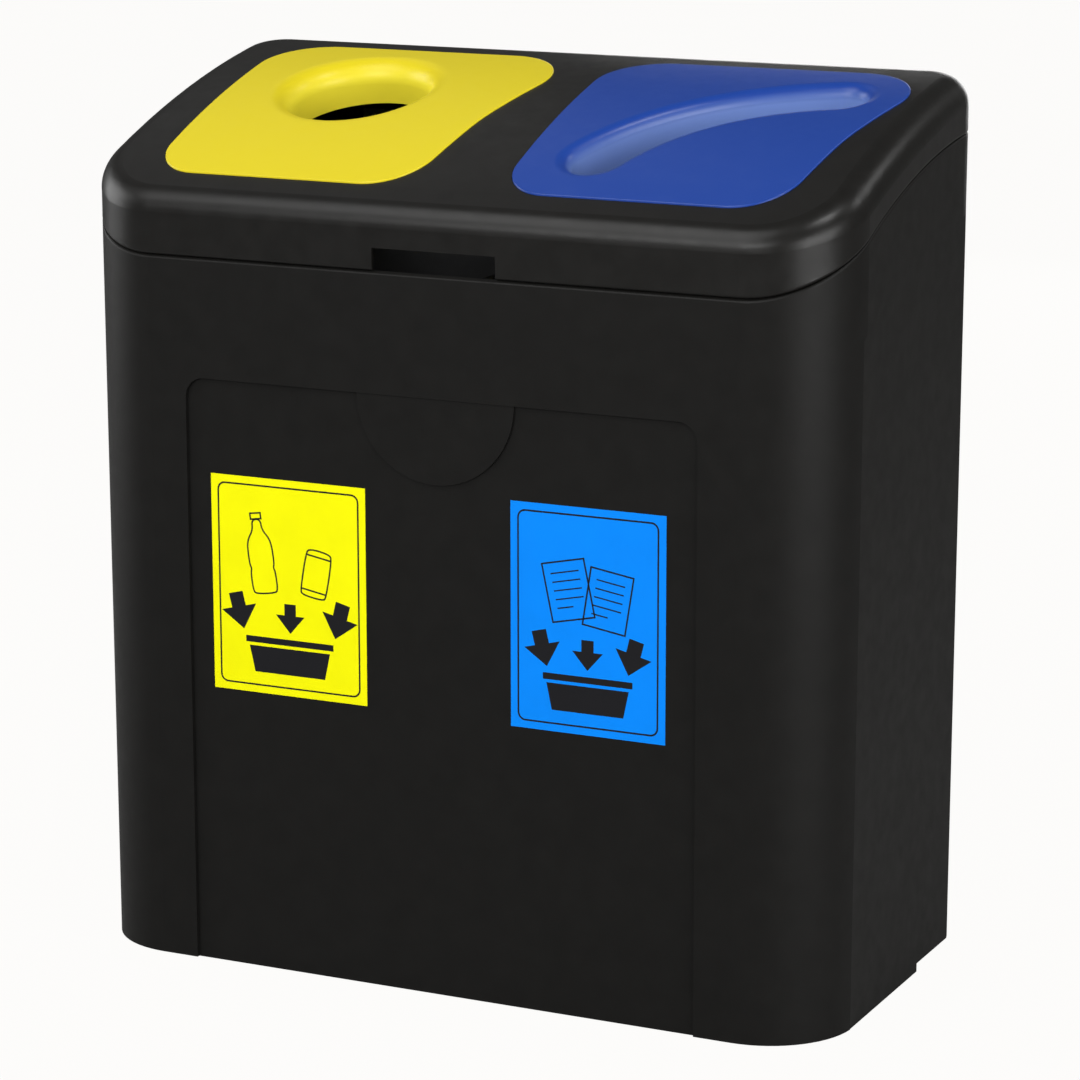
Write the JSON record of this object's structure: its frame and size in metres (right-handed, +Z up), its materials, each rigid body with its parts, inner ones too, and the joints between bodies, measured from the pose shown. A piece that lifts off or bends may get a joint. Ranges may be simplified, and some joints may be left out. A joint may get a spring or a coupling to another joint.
{
  "type": "double recycling bin",
  "caption": "Free-standing litter bin with two compartments under one hinged, sloping lid, one fed by a round chute and one by a curved slot.",
  "frame": {"origin": "on the floor under the middle of the whole bin, hinges included", "axes": "+Z up; +X across the bin, to the right of a person who stands in front of it; the front with the labels faces -Y"},
  "size_m": [0.7606, 0.3875, 0.8384],
  "materials": {
    "body_plastic": "moulded polyethylene, fine satin grain",
    "lid_plastic": "moulded polyethylene, fine satin grain",
    "insert_yellow": "semi-gloss moulded",
    "insert_blue": "semi-gloss moulded",
    "liner_plastic": "moulded, slightly mottled",
    "steel": "zinc plated",
    "rubber": "soft, matt",
    "label_yellow": "printed self-adhesive film",
    "label_blue": "printed self-adhesive film"
  },
  "bodies": {
    "body": {"body_shell": "body_plastic", "liner_left": "liner_plastic", "liner_right": "liner_plastic", "rear_feet": "rubber", "foot_screws": "steel", "label_left": "label_yellow", "label_right": "label_blue", "hinge_screws_body": "steel", "hinge_plates_body": "steel", "hinge_nuts_body": "steel", "hinge_leaf_body_left": "steel", "hinge_leaf_body_right": "steel", "hinge_pin_left": "steel", "hinge_pin_right": "steel"},
    "lid": {"lid_shell": "lid_plastic", "insert_round": "insert_yellow", "insert_slot": "insert_blue", "insert_clips_round": "steel", "insert_clips_slot": "steel", "hinge_screws_lid": "steel", "hinge_plates_lid": "steel", "hinge_nuts_lid": "steel", "hinge_leaf_lid_left": "steel", "hinge_leaf_lid_right": "steel"}
  },
  "joints": [
    {"name": "lid_hinge", "type": "hinge", "parent": "body", "child": "lid", "pos_m": [0, 0.18783, 0.7862], "axis": [-1, 0, 0], "range_deg": [0, 100]}
  ]
}
